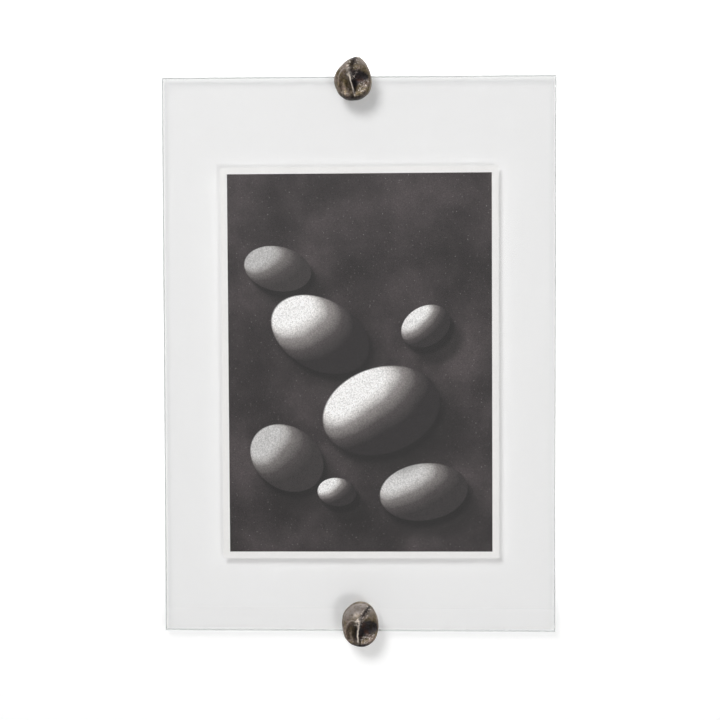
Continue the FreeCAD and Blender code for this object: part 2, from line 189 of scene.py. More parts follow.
def zinc_plate(name):
    """Bright zinc plate on rolled steel: bluish, with paler and duller patches."""
    material, tree, output = new_material(name)
    place = add(tree, "TexCoord").outputs["Object"]
    cloud = add(tree, "TexNoise", {
        "Vector": place, "Scale": 1 / (2 * MM), "Detail": 4.0,
    }).outputs[0]
    colour = add(tree, "ValToRGB", {0: cloud}, stops=(
        (0.3, "#8d949c"), (0.5, "#a9afb3"), (0.65, "#b9b8a6"), (0.8, "#9fa9b4"),
    )).outputs[0]
    spread = add(tree, "MapRange", {"Value": cloud, "To Min": 0.22, "To Max": 0.45}).outputs[0]
    grain = add(tree, "TexNoise", {
        "Vector": place, "Scale": 1 / (0.3 * MM), "Detail": 2.0,
    }).outputs[0]
    bump = add(tree, "Bump", {"Height": grain, "Strength": 0.2, "Distance": 0.02 * MM}).outputs[0]
    body = add(tree, "BsdfPrincipled", {
        "Base Color": colour, "Metallic": 1.0, "Roughness": spread, "Normal": bump,
    })
    tree.links.new(body.outputs[0], output.inputs["Surface"])
    return material


def moulded_nylon(name):
    """Grey moulded nylon: dull, slightly mottled, with a fine grain from the mould."""
    material, tree, output = new_material(name)
    place = add(tree, "TexCoord").outputs["Object"]
    cloud = add(tree, "TexNoise", {
        "Vector": place, "Scale": 1 / (5 * MM), "Detail": 2.0,
    }).outputs[0]
    colour = add(tree, "Mix", {
        0: cloud, 6: linear("#8b8e91"), 7: linear("#a0a3a5"),
    }, data_type="RGBA").outputs[2]
    grain = add(tree, "TexNoise", {
        "Vector": place, "Scale": 1 / (0.25 * MM), "Detail": 2.0,
    }).outputs[0]
    spread = add(tree, "MapRange", {"Value": grain, "To Min": 0.45, "To Max": 0.6}).outputs[0]
    bump = add(tree, "Bump", {"Height": grain, "Strength": 0.2, "Distance": 0.03 * MM}).outputs[0]
    body = add(tree, "BsdfPrincipled", {
        "Base Color": colour, "Roughness": spread, "IOR": 1.53, "Normal": bump,
    })
    tree.links.new(body.outputs[0], output.inputs["Surface"])
    return material


# how far each point of a knob is rubbed bright, with painted highlights and painted sheen; how far
# it is darkened, by patina, dirt and painted shade; and how far flecked, with painted light in the
# dents' lower bowls
MARKS = ("wear_and_highlight", "patina_dirt_and_shade", "flecks_and_bowl_light")


def cast_bronze(name, seed):
    """Bronze as it was cast, under a brown patina: a thin oxide over metal, olive and mauve grey on
    the faces, blue grey and umber in the hollows, where the dark is partly patina and partly
    painted shade, as it is on the underside and the lower edge. It is rubbed to pale brass on the
    ridges, has a painted highlight on the left dent's rim and a painted sheen on its upper facet,
    and has bright specks where the mould ran rough, which also paint the light in the dents' lower
    bowls."""
    material, tree, output = new_material(name)
    place = add(tree, "TexCoord").outputs["Object"]
    shifted = add(tree, "Mapping", {"Vector": place, "Location": (seed * MM, 0, 0)}).outputs[0]
    wear_and_highlight, patina_dirt_and_shade, flecks_and_bowl_light = (
        add(tree, "Attribute", attribute_name=mark).outputs["Fac"] for mark in MARKS
    )
    # the patina's patches are 3 to 6 mm across
    patch = add(tree, "TexNoise", {
        "Vector": shifted, "Scale": 1 / (6 * MM), "Detail": 4.0, "Roughness": 0.6,
    }).outputs[0]
    patina = add(tree, "ValToRGB", {0: patch}, stops=(
        (0.30, "#665838"), (0.44, "#7d6f56"), (0.57, "#8a7a6f"), (0.72, "#6a5b47"),
    )).outputs[0]
    dark = add(tree, "ValToRGB", {0: patch}, stops=(
        (0.36, "#2b231c"), (0.50, "#2c2a2e"), (0.64, "#3c271f"),
    )).outputs[0]
    # painted shade: where the dark mark is high the colour goes to the dark ramp, partly patina in
    # the hollows and partly painted shade on the dents' walls, the underside and the lower edge
    deep = add(tree, "Mix", {0: patina_dirt_and_shade, 6: patina, 7: dark}, data_type="RGBA").outputs[2]
    # the casting's skin is speckled, 0.5 to 1.5 mm
    speckle = add(tree, "TexNoise", {
        "Vector": shifted, "Scale": 1 / (1.7 * MM), "Detail": 3.0, "Roughness": 0.75,
    }).outputs[0]
    shades = add(tree, "MapRange", {
        "Value": speckle, "From Min": 0.36, "From Max": 0.62, "To Min": 0.35, "To Max": 1.45,
    }).outputs[0]
    deep = add(tree, "Mix", {
        0: 1.0, 6: deep, 7: shades,
    }, data_type="RGBA", blend_type="MULTIPLY").outputs[2]
    # grit of the mould, 0.5 to 1 mm, which breaks up the worn ridges and the flecks
    grit = add(tree, "TexNoise", {
        "Vector": shifted, "Scale": 1 / (1.4 * MM), "Detail": 3.0, "Roughness": 0.7,
    }).outputs[0]
    rubbed = add(tree, "MapRange", {"Value": grit, "From Min": 0.28, "From Max": 0.5}).outputs[0]
    ridge = add(tree, "Math", {0: wear_and_highlight, 1: rubbed}, operation="MULTIPLY").outputs[0]
    spots = add(tree, "MapRange", {"Value": grit, "From Min": 0.53, "From Max": 0.64}).outputs[0]
    fleck = add(tree, "Math", {0: flecks_and_bowl_light, 1: spots}, operation="MULTIPLY").outputs[0]
    bright = add(tree, "Math", {0: ridge, 1: fleck}, operation="MAXIMUM").outputs[0]
    # a low bright mark gives a warm grey: lightly rubbed metal, and the painted sheen on the upper
    # facet. A high one gives bare metal, which fine scratches make pale, and the painted
    # highlights.
    little = add(tree, "MapRange", {"Value": bright, "From Max": 0.4}).outputs[0]
    greyed = add(tree, "Mix", {
        0: little, 6: deep, 7: linear("#b0a6a0"),
    }, data_type="RGBA").outputs[2]
    much = add(tree, "MapRange", {"Value": bright, "From Min": 0.4, "From Max": 0.8}).outputs[0]
    colour = add(tree, "Mix", {
        0: much, 6: greyed, 7: linear("#fff4e4"),
    }, data_type="RGBA").outputs[2]
    metal = add(tree, "MapRange", {"Value": bright, "To Min": 0.7, "To Max": 0.55}).outputs[0]
    spread = add(tree, "MapRange", {"Value": grit, "To Min": 0.38, "To Max": 0.6}).outputs[0]
    bump = add(tree, "Bump", {"Height": grit, "Strength": 0.8, "Distance": 0.2 * MM}).outputs[0]
    body = add(tree, "BsdfPrincipled", {
        "Base Color": colour, "Metallic": metal, "Roughness": spread, "Normal": bump,
    })
    tree.links.new(body.outputs[0], output.inputs["Surface"])
    return material


PRINT_SIZE = (210 * MM, 297 * MM)
PRINT_BORDER = 5.1 * MM
PRINT_TURN = math.radians(0.16)

# The pebbles of the picture, the ones underneath first: middle and reach, from the picture's middle
# in shares of half its width, then turn in degrees, and how pale the stone is.
PEBBLES = (
    (-0.62, 0.72, 0.26, 0.17, 12, 0.5),
    (0.48, -0.98, 0.34, 0.22, -8, 0.7),
    (-0.56, -0.72, 0.30, 0.24, 35, 0.6),
    (0.50, 0.28, 0.20, 0.15, -30, 0.9),
    (-0.30, 0.22, 0.40, 0.27, 28, 1.0),
    (0.16, -0.36, 0.46, 0.33, -18, 1.0),
    (-0.18, -0.98, 0.15, 0.11, 5, 0.9),
)
# the shadows below a pebble, a wide one and one close in: how far they drop, where they begin and
# end, and their tone
PEBBLE_SHADOWS = (((0.10, -0.13), 0.72, 1.25, "#1c1817"), ((0.03, -0.05), 0.9, 1.08, "#100d0c"))
# where the picture's light comes from: left, towards the viewer, and up
PICTURE_LIGHT = Vector((-0.62, 0.5, 0.6)).normalized()


def printed_paper(name, node):
    """Smooth white paper with a black and white picture of smooth pebbles on dark wet sand inside a
    narrow border: warm blacks, soft greys and the grain of film."""
    low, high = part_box(node)
    middle = (low + high) / 2
    material, tree, output = new_material(name)
    place = add(tree, "TexCoord").outputs["Object"]
    moved = add(tree, "Mapping", {
        "Vector": place, "Location": (-middle.x, 0, -middle.z),
    }).outputs[0]
    turned = add(tree, "Mapping", {"Vector": moved, "Rotation": (0, PRINT_TURN, 0)}).outputs[0]
    split = add(tree, "SeparateXYZ", {"Vector": turned}).outputs
    half_width = PRINT_SIZE[0] / 2 - PRINT_BORDER
    half_height = PRINT_SIZE[1] / 2 - PRINT_BORDER
    across = add(tree, "Math", {0: split["X"], 1: half_width}, operation="DIVIDE").outputs[0]
    up = add(tree, "Math", {0: split["Z"], 1: half_height}, operation="DIVIDE").outputs[0]

    # the sand: dark, in slow waves 50 mm long, with a few pale grains
    rise = add(tree, "Math", {0: split["Z"], 1: half_width}, operation="DIVIDE").outputs[0]
    flat = add(tree, "CombineXYZ", {"X": across, "Z": rise}).outputs[0]
    wander = add(tree, "TexNoise", {
        "Vector": turned, "Scale": 1 / (50 * MM), "Detail": 3.0,
    }).outputs[0]
    picture = add(tree, "ValToRGB", {0: wander}, stops=(
        (0.32, "#231d1d"), (0.5, "#352e2f"), (0.68, "#4b4344"),
    )).outputs[0]
    grains = add(tree, "TexNoise", {
        "Vector": turned, "Scale": 1 / (1.4 * MM), "Detail": 2.0,
    }).outputs[0]
    pale = add(tree, "MapRange", {
        "Value": grains, "From Min": 0.66, "From Max": 0.76, "To Max": 0.5,
    }).outputs[0]
    picture = add(tree, "Mix", {
        0: pale, 6: picture, 7: linear("#a39e9c"),
    }, data_type="RGBA").outputs[2]
    for middle_x, middle_z, wide, high, lean, power in PEBBLES:
        tilt = math.radians(lean)
        for drop, near, far, tone in PEBBLE_SHADOWS:
            below = add(tree, "Mapping", {
                "Vector": flat, "Location": (middle_x + drop[0], 0, middle_z + drop[1]),
                "Rotation": (0, tilt, 0), "Scale": (wide, 1, high),
            }, vector_type="TEXTURE").outputs[0]
            away = add(tree, "VectorMath", {0: below}, operation="LENGTH").outputs["Value"]
            shadow = add(tree, "MapRange", {
                "Value": away, "From Min": far, "From Max": near, "To Max": 0.75,
            }, interpolation_type="SMOOTHSTEP").outputs[0]
            picture = add(tree, "Mix", {
                0: shadow, 6: picture, 7: linear(tone),
            }, data_type="RGBA").outputs[2]
        local = add(tree, "Mapping", {
            "Vector": flat, "Location": (middle_x, 0, middle_z), "Rotation": (0, tilt, 0),
            "Scale": (wide, 1, high),
        }, vector_type="TEXTURE").outputs[0]
        away = add(tree, "VectorMath", {0: local}, operation="LENGTH").outputs["Value"]
        inside = add(tree, "MapRange", {
            "Value": away, "From Min": 1.0, "From Max": 0.97,
        }).outputs[0]
        # a rounded stone, a little flatter on top than a ball, lit from one side
        square = add(tree, "Math", {0: away, 1: 2.4}, operation="POWER").outputs[0]
        left = add(tree, "Math", {
            0: 1.0, 1: square,
        }, operation="SUBTRACT", use_clamp=True).outputs[0]
        dome = add(tree, "Math", {0: left}, operation="SQRT").outputs[0]
        bowed = add(tree, "VectorMath", {0: local, 1: (1, 0, 1)}, operation="MULTIPLY").outputs[0]
        faced = add(tree, "CombineXYZ", {"Y": dome}).outputs[0]
        normal = add(tree, "VectorMath", {0: bowed, 1: faced}, operation="ADD").outputs[0]
        light = Matrix.Rotation(-tilt, 3, "Y") @ PICTURE_LIGHT
        lit = add(tree, "VectorMath", {
            0: normal, 1: light,
        }, operation="DOT_PRODUCT").outputs["Value"]
        mottled = add(tree, "Math", {
            0: wander, 1: 0.3, 2: lit,
        }, operation="MULTIPLY_ADD").outputs[0]
        stone = add(tree, "ValToRGB", {0: mottled}, stops=(
            (0.20, "#262122"), (0.50, "#4a4444"), (0.76, "#918c8a"), (0.90, "#e0dddb"),
            (1.0, "#fbfaf9"),
        )).outputs[0]
        stone = add(tree, "Mix", {
            0: power, 6: linear("#443f3e"), 7: stone,
        }, data_type="RGBA").outputs[2]
        picture = add(tree, "Mix", {0: inside, 6: picture, 7: stone}, data_type="RGBA").outputs[2]

    # film grain, 0.8 mm, coarser than real grain so that it shows at this size
    grain = add(tree, "TexNoise", {
        "Vector": turned, "Scale": 1 / (0.8 * MM), "Detail": 2.0,
    }).outputs[0]
    speck = add(tree, "MapRange", {
        "Value": grain, "From Min": 0.3, "From Max": 0.7, "To Min": 0.72, "To Max": 1.28,
    }).outputs[0]
    grained = add(tree, "Mix", {
        0: 1.0, 6: picture, 7: speck,
    }, data_type="RGBA", blend_type="MULTIPLY").outputs[2]

    # the border, and the bare back of the sheet
    reach = [
        add(tree, "Math", {0: side}, operation="ABSOLUTE").outputs[0] for side in (across, up)
    ]
    outer = add(tree, "Math", {0: reach[0], 1: reach[1]}, operation="MAXIMUM").outputs[0]
    printed = add(tree, "Math", {0: outer, 1: 1.0}, operation="LESS_THAN").outputs[0]
    front = add(tree, "Math", {0: split["Y"], 1: middle.y}, operation="LESS_THAN").outputs[0]
    inked = add(tree, "Math", {0: printed, 1: front}, operation="MULTIPLY").outputs[0]
    fibre = add(tree, "TexNoise", {
        "Vector": turned, "Scale": 1 / (1.5 * MM), "Detail": 5.0,
    }).outputs[0]
    paper = add(tree, "Mix", {
        0: fibre, 6: linear("#f1f0ee"), 7: linear("#fbfaf9"),
    }, data_type="RGBA").outputs[2]
    colour = add(tree, "Mix", {0: inked, 6: paper, 7: grained}, data_type="RGBA").outputs[2]
    spread = add(tree, "MapRange", {"Value": fibre, "To Min": 0.5, "To Max": 0.65}).outputs[0]
    bump = add(tree, "Bump", {"Height": fibre, "Strength": 0.1, "Distance": 0.03 * MM}).outputs[0]
    body = add(tree, "BsdfPrincipled", {
        "Base Color": colour, "Roughness": spread, "IOR": 1.5, "Normal": bump,
    })
    tree.links.new(body.outputs[0], output.inputs["Surface"])
    return material


# Shapes

def finish_piece(bm, name, material, body, slot, *nodes, sharp=None):
    """Makes a piece of a bmesh, in place of its CAD nodes. Edges that turn by more than that many
    degrees stay sharp."""
    bmesh.ops.recalc_face_normals(bm, faces=bm.faces)
    mesh = bpy.data.meshes.new(name)
    bm.to_mesh(mesh)
    bm.free()
    mesh.materials.append(material)
    mesh.shade_smooth()
    if sharp:
        mesh.set_sharp_from_angle(angle=math.radians(sharp))
    piece = bpy.data.objects.new(name, mesh)
    bpy.context.scene.collection.objects.link(piece)
    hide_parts(*nodes)
    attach(piece, body)


def turn(bm, stations, closed, steps, angle=2 * math.pi, start=0.0):
    """Turns a line of (radius, y) stations, in millimetres, about the Y axis. Less than a full turn
    gives a piece that is closed at both ends."""
    verts = [bm.verts.new((radius * MM, y * MM, 0)) for radius, y in stations]
    pairs = list(zip(verts, verts[1:]))
    if closed:
        pairs.append((verts[-1], verts[0]))
    edges = [bm.edges.new(pair) for pair in pairs]
    first = Matrix.Rotation(start, 3, "Y")
    bmesh.ops.rotate(bm, cent=(0, 0, 0), matrix=first, verts=verts)
    full = angle >= 2 * math.pi
    bmesh.ops.spin(
        bm, geom=verts + edges, cent=(0, 0, 0), axis=(0, 1, 0), angle=angle, steps=steps,
        use_merge=full, use_duplicate=False,
    )
    bmesh.ops.remove_doubles(bm, verts=bm.verts, dist=0.001 * MM)
    if not full:
        bmesh.ops.holes_fill(bm, edges=[edge for edge in bm.edges if edge.is_boundary], sides=0)


# The stud in millimetres: core radii of its two threads, half its hex socket and that one's depth.
M5_CORE, WOOD_CORE = 2.02, 1.5
SOCKET, SOCKET_DEPTH = 1.25, 3.0
THREAD_STEPS = 24


def helix(bm, root, tip, width, pitch, start, end):
    """Winds a thread's ridge about the Y axis from start to end, all in millimetres. Its foot goes
    a little into the core."""
    foot = root - 0.15
    section = ((foot, -0.5), (tip, -0.06), (tip, 0.06), (foot, 0.5))
    verts = [
        bm.verts.new((radius * MM, (start + share * width) * MM, 0)) for radius, share in section
    ]
    edges = [bm.edges.new((verts[index - 1], verts[index])) for index in range(len(verts))]
    turns = (end - start) / pitch
    count = round(turns * THREAD_STEPS)
    made = bmesh.ops.spin(
        bm, geom=verts + edges, cent=(0, 0, 0), axis=(0, 1, 0),
        dvec=(0, pitch * MM / THREAD_STEPS, 0), angle=2 * math.pi * turns, steps=count,
        use_merge=False, use_duplicate=False,
    )
    last = [item for item in made["geom_last"] if isinstance(item, bmesh.types.BMVert)]
    # the ridge runs out into the core at both ends
    for loop in (verts, last):
        for vert in loop:
            flat = Vector((vert.co.x, 0, vert.co.z))
            flat.length = foot * MM
            vert.co = Vector((flat.x, vert.co.y, flat.z))
        bm.faces.new(loop)


def hanger_bolt(which, materials):
    """The stud with its real threads: M5 x 0.8 to the front and a coarse wood thread behind."""
    name = f"{which}_hanger_bolt"
    low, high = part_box(name)
    front, tip = low.y / MM, high.y / MM
    bm = bmesh.new()
    turn(bm, (
        (0, front + SOCKET_DEPTH), (SOCKET, front + SOCKET_DEPTH), (SOCKET, front), (1.6, front),
        (M5_CORE, front + 0.45), (M5_CORE, -0.9), (WOOD_CORE, -0.7), (WOOD_CORE, tip - 6.0),
        (0.9, tip - 2.6), (0, tip),
    ), False, THREAD_STEPS)
    # the round socket is pressed to a hexagon
    for vert in bm.verts:
        radius = math.hypot(vert.co.x, vert.co.z)
        if 1.0 * MM < radius < 1.3 * MM and vert.co.y < (front + SOCKET_DEPTH + 0.5) * MM:
            around = math.atan2(vert.co.z, vert.co.x) % (math.pi / 3) - math.pi / 6
            reach = SOCKET * MM / math.cos(around) / radius
            vert.co.x *= reach
            vert.co.z *= reach
    helix(bm, M5_CORE, 2.49, 0.8, 0.8, front + 0.6, -1.3)
    helix(bm, WOOD_CORE, 1.98, 0.9, 1.8, 0.5, tip - 4.2)
    bmesh.ops.translate(bm, verts=bm.verts, vec=(0, 0, STUD_Z[which]))
    finish_piece(
        bm, f"{which}_threaded_stud", materials["zinc"], "wall_fixings", "zinc_steel", name,
        sharp=30,
    )


def wall_plug(which, materials):
    """The moulded plug: a collar, a plain neck, and two halves with a sawtooth grip."""
    name = f"{which}_wall_plug"
    bore, middle, core, grip, collar, split, end = 2.05, 2.55, 2.6, 3.0, 3.9, 1.0, 30.0
    bm = bmesh.new()
    turn(bm, (
        (bore, -0.8), (collar - 0.3, -0.8), (collar, -0.55), (collar, 0), (grip, 0), (grip, 5.6),
        (2.75, 6.0), (bore, 6.0),
    ), True, 48)
    teeth = []
    for step in range(6):
        begin = 6.6 + step * 3.7
        teeth += [(core, begin), (grip, begin + 2.9), (grip, begin + 3.3)]
    saw = ((bore, 5.4), (core, 5.4), *teeth, (core, end - 1.0), (2.35, end), (bore, end))
    slot = math.asin(split / 2 / middle)
    for side in (0, 1):
        half = bmesh.new()
        turn(half, saw, True, 22, math.pi - 2 * slot, side * math.pi - math.pi / 2 + slot)
        scrap = bpy.data.meshes.new("plug_half")
        half.to_mesh(scrap)
        half.free()
        bm.from_mesh(scrap)
        bpy.data.meshes.remove(scrap)
    bmesh.ops.translate(bm, verts=bm.verts, vec=(0, 0, STUD_Z[which]))
    finish_piece(
        bm, f"{which}_ribbed_plug", materials["nylon"], "wall_fixings", "plug_nylon", name,
        sharp=30,
    )


def standoff_nut(which, materials):
    """The round nut with two knurled bands and a groove between them."""
    name = f"{which}_standoff_nut"
    knurl, groove, knurl_depth, ridges = 7.99, 7.5, 0.22, 72
    bore, recess, height = 2.55, 4.3, 4.0
    bm = bmesh.new()
    turn(bm, (
        (recess, 0), (7.6, 0), (knurl, -0.4), (knurl, -1.4), (groove, -1.4), (groove, -2.6),
        (knurl, -2.6), (knurl, -3.6), (7.6, -height), (bore, -height), (bore, -1.2),
        (recess, -1.2),
    ), True, 2 * ridges)
    # every other line of the bands is pressed in
    for vert in bm.verts:
        radius = math.hypot(vert.co.x, vert.co.z)
        if radius > 7.9 * MM:
            around = round(math.atan2(vert.co.z, vert.co.x) / math.pi * ridges)
            if around % 2:
                vert.co.x *= 1 - knurl_depth * MM / radius
                vert.co.z *= 1 - knurl_depth * MM / radius
    bmesh.ops.translate(bm, verts=bm.verts, vec=(0, 0, STUD_Z[which]))
    finish_piece(
        bm, f"{which}_knurled_nut", materials[f"{which}_nickel"], "wall_fixings", "nickel_plate",
        name, sharp=25,
    )


# The form of each knob, in shares of its half width, half height and depth. Levels: height, how far
# out the side is, how far it leans to the crest.
LEVELS = (
    (0.00, 0.84, 0.00), (0.09, 0.94, 0.00), (0.24, 1.00, 0.00), (0.42, 0.99, 0.00),
    (0.58, 0.93, 0.06), (0.73, 0.82, 0.20), (0.86, 0.64, 0.45), (0.95, 0.40, 0.80),
    (1.00, 0.16, 1.00), (1.005, 0.0, 1.05),
)
# width, height, depth, shift: the lump in millimetres, and how far its middle is off the stud.
# crest: where its highest place is. outline: its widest line as seen from in front.
# ridge: the line between the dents, from its top down. ridge_form: the ridge's height at the knob's
# middle, its fall, and how steep it is on the left and on the right, in millimetres a millimetre.
# left: the left dent's middle, its reach, the level of its rim and its depth.
# right: the right dent's place, the level and the slopes of its floor, then where its upper wall
# starts, how that leans, how high and how steep it is.
# crease: the line over the crest, with its width in millimetres.
# shade: how dark the painted shade in the left dent is. bowl: where the lower part of the dents
# begins, which painted light makes brighter, how that line rises, how sharp it is and how near to
# the middle it comes. edge: how far down the painted shade of the dark lower edge begins. sheen:
# how bright the painted sheen on the flat facet is. seed: what makes the skins differ.
KNOBS = {
    "upper": {
        "width": 28.0, "height": 32.2, "depth": 21.0, "shift": -3.8, "crest": (-0.20, 0.36),
        "outline": (
            (0.24, 1.00), (-0.25, 0.85), (-0.63, 0.57), (-0.90, 0.27), (-1.00, -0.04),
            (-0.92, -0.40), (-0.73, -0.72), (-0.38, -0.95), (0.01, -1.00), (0.42, -0.94),
            (0.80, -0.72), (0.97, -0.44), (1.00, -0.06), (0.89, 0.37), (0.62, 0.79),
        ),
        "ridge": (
            (-0.16, 0.12), (-0.10, -0.08), (-0.03, -0.32), (0.03, -0.58), (0.10, -0.84),
            (0.16, -1.1),
        ),
        "ridge_form": (0.87, 0.33, 1.15, 1.7),
        "left": (-0.40, -0.38, 0.42, 0.70, 0.84, 0.25),
        "right": ((0.40, -0.25), 0.56, (0.16, -0.26), 0.33, -0.24, 0.93, 1.1),
        "crease": ((-0.04, 0.14), (-0.04, 0.38), (0.03, 0.62), (0.12, 0.96)),
        "crease_width": 2.8, "seed": 3.0, "shade": 0.52,
        "bowl": (0.26, 0.32, 3.0, 0.85), "edge": 0.84, "sheen": 0.22,
    },
    "lower": {
        "width": 27.6, "height": 33.9, "depth": 21.0, "shift": 0.8, "crest": (-0.14, 0.26),
        "outline": (
            (0.04, 1.00), (-0.29, 0.96), (-0.62, 0.78), (-0.89, 0.51), (-1.00, 0.19),
            (-0.97, -0.19), (-0.85, -0.57), (-0.53, -0.87), (-0.07, -1.00), (0.27, -0.99),
            (0.66, -0.81), (0.90, -0.52), (1.00, -0.12), (0.95, 0.28), (0.75, 0.64),
            (0.42, 0.91),
        ),
        "ridge": ((-0.07, 0.30), (-0.08, 0.0), (-0.12, -0.44), (-0.10, -0.89), (-0.06, -1.1)),
        "ridge_form": (0.87, 0.33, 1.5, 1.5),
        "left": (-0.46, -0.36, 0.38, 0.66, 0.84, 0.30),
        "right": ((0.30, -0.45), 0.50, (0.12, -0.38), 0.24, -0.12, 0.92, 0.85),
        "crease": ((-0.12, 0.15), (0.04, 0.34), (0.21, 0.55), (0.42, 0.78), (0.75, 0.91)),
        "crease_width": 1.9, "seed": 11.0, "shade": 0.9,
        "bowl": (0.45, 0.22, 3.5, 0.5), "edge": 0.70, "sheen": 0.38,
    },
}


def smooth_through(points, place, closed=False):
    """The value at a place along a smooth line through points, place being counted in points."""
    count = len(points)
    index = math.floor(place)
    share = place - index
    if closed:
        a, b, c, d = (points[(index + step) % count] for step in (-1, 0, 1, 2))
    else:
        a, b, c, d = (points[min(max(index + step, 0), count - 1)] for step in (-1, 0, 1, 2))
    return tuple(
        0.5 * (2 * q + (r - p) * share + (2 * p - 5 * q + 4 * r - s) * share ** 2
               + (3 * q - p - 3 * r + s) * share ** 3)
        for p, q, r, s in zip(a, b, c, d)
    )


def soft_least(a, b, blend):
    """The lesser of two heights, with the edge between them rounded over that blend."""
    near = np.maximum(blend - np.abs(a - b), 0) / blend
    return np.minimum(a, b) - near * near * blend / 4


def soft_most(a, b, blend):
    """The greater of two heights, rounded in the same way."""
    return -soft_least(-a, -b, blend)


def bell(distance, width):
    """1 at no distance, falling off smoothly over that width."""
    return np.exp(-(distance / width) ** 2)


def held(value):
    """A share, held between 0 and 1."""
    return np.clip(value, 0, 1)


def distance_to_line(x, z, line):
    """How far each point is from a line through points."""
    best = np.full(x.shape, 1e9)
    for (ax, az), (bx, bz) in zip(line, line[1:]):
        dx, dz = bx - ax, bz - az
        share = held(((x - ax) * dx + (z - az) * dz) / (dx * dx + dz * dz))
        best = np.minimum(best, np.hypot(x - ax - share * dx, z - az - share * dz))
    return best


def outline_reach(form, angle):
    """How far the knob's widest outline lies from its middle at each angle."""
    points = form["outline"]
    count = 720
    samples = [smooth_through(points, step * len(points) / count, True) for step in range(count)]
    line = np.array(samples) * (form["width"] / 2, form["height"] / 2)
    angles = np.arctan2(line[:, 1], line[:, 0])
    order = np.argsort(angles)
    away = np.hypot(line[:, 0], line[:, 1])
    return np.interp(angle, angles[order], away[order], period=2 * math.pi)


# A knob's measures in millimetres: its blind hole, the roundings where two forms meet, how deep the
# crease is, and how much next to the wall side stays plain. Then the steps of its mesh.
HOLE_RADIUS, HOLE_DEPTH = 2.55, 10.0
MELT, FLOOR_MELT, RIDGE_MELT = 2.6, 3.5, 0.3
CREASE_DEPTH = 1.0
PLAIN_SEAT = 0.6
AROUND_STEPS, LEVEL_STEPS = 192, 160


def knob_rings(depth, half_width, count):
    """The knob's rings from the bottom of its hole over its seat and side to its crest: round
    radius, share of the outline, share of the shift, lean and height."""
    rings = [
        (min(step / 2, 1) * HOLE_RADIUS, 0, 0, 0, HOLE_DEPTH * min((8 - step) / 6, 1))
        for step in range(9)
    ]
    for share in np.linspace(0.1, 1, 10):
        rings.append((HOLE_RADIUS * (1 - share), LEVELS[0][1] * share, share, 0, 0))
    last = len(LEVELS) - 1
    fine = np.array([smooth_through(LEVELS, step * last / 400) for step in range(401)])
    steps = np.hypot(np.diff(fine[:, 0]) * depth, np.diff(fine[:, 1]) * half_width)
    travel = np.concatenate(([0], np.cumsum(steps)))
    for goal in np.linspace(0, travel[-1], count + 2 - len(rings))[1:]:
        level, size, lean = (np.interp(goal, travel, fine[:, column]) for column in range(3))
        rings.append((0, size, 1, lean, level * depth))
    return np.array(rings)


def pinched(form, across, up):
    """What two fingers do to the lump: how far each point is from the sharp ridge between their
    dents, and the height that they press the metal down to."""
    half_width, half_height, depth = form["width"] / 2, form["height"] / 2, form["depth"]
    line_across, line_up = np.array(form["ridge"][::-1]).T
    off_ridge = (across - np.interp(up, line_up, line_across)) * half_width
    # pinched metal never runs quite straight
    off_ridge += 0.18 * np.sin(9 * up + form["seed"]) + 0.12 * np.sin(25 * up)
    level, fall, steep_left, steep_right = form["ridge_form"]
    rounded_off = np.hypot(off_ridge, RIDGE_MELT) - RIDGE_MELT
    steep = np.where(off_ridge > 0, steep_right, steep_left)
    walls = depth * (level + fall * up) - steep * rounded_off
    middle_x, middle_z, wide, high, rim, deep = form["left"]
    bowl = (((across - middle_x) / wide) ** 2 + ((up - middle_z) / high) ** 2) ** 1.1
    left = depth * (rim + 0.16 * (up - middle_z) + deep * (bowl - 1))
    (low_x, low_z), low, slopes, top, lean_down, high_wall, steep_wall = form["right"]
    floor = (
        depth * low + slopes[0] * (across - low_x) * half_width
        + slopes[1] * (up - low_z) * half_height
    )
    ceiling = (
        depth * (high_wall - 0.4 * across)
        - steep_wall * (top + lean_down * across - up) * half_height
    )
    right = soft_most(floor, ceiling, FLOOR_MELT)
    return off_ridge, soft_most(walls, np.where(off_ridge > 0, right, left), MELT)


